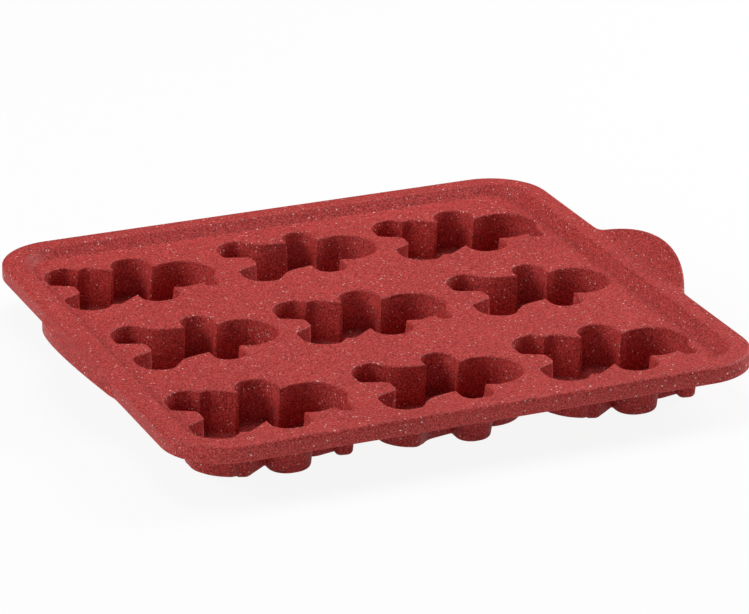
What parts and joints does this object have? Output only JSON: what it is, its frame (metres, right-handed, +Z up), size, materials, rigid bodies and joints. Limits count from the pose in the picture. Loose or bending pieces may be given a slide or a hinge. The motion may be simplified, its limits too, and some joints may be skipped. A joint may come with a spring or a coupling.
{
  "type": "gingerbread mold pan",
  "caption": "Flexible silicone baking pan with a lattice of deep figure-shaped cups, a raised rim stiffened by a steel wire frame, and upturned end handles.",
  "frame": {"origin": "middle of the pan on the surface that its cups stand on", "axes": "+X along the front edge towards the right handle and the heads of the figures, +Y from front to back, +Z up out of the cups"},
  "size_m": [0.2912, 0.26, 0.0331],
  "materials": {
    "silicone": "matte moulded silicone, fine pale and dark specks",
    "steel": "plain drawn wire"
  },
  "bodies": {
    "root": {"rim": "silicone", "steel_frame": "steel", "handle_left": "silicone", "handle_right": "silicone", "girl_cup_front_left": "silicone", "boy_cup_front": "silicone", "girl_cup_front_right": "silicone", "boy_cup_left": "silicone", "girl_cup_centre": "silicone", "boy_cup_right": "silicone", "girl_cup_back_left": "silicone", "boy_cup_back": "silicone", "girl_cup_back_right": "silicone"}
  },
  "joints": []
}
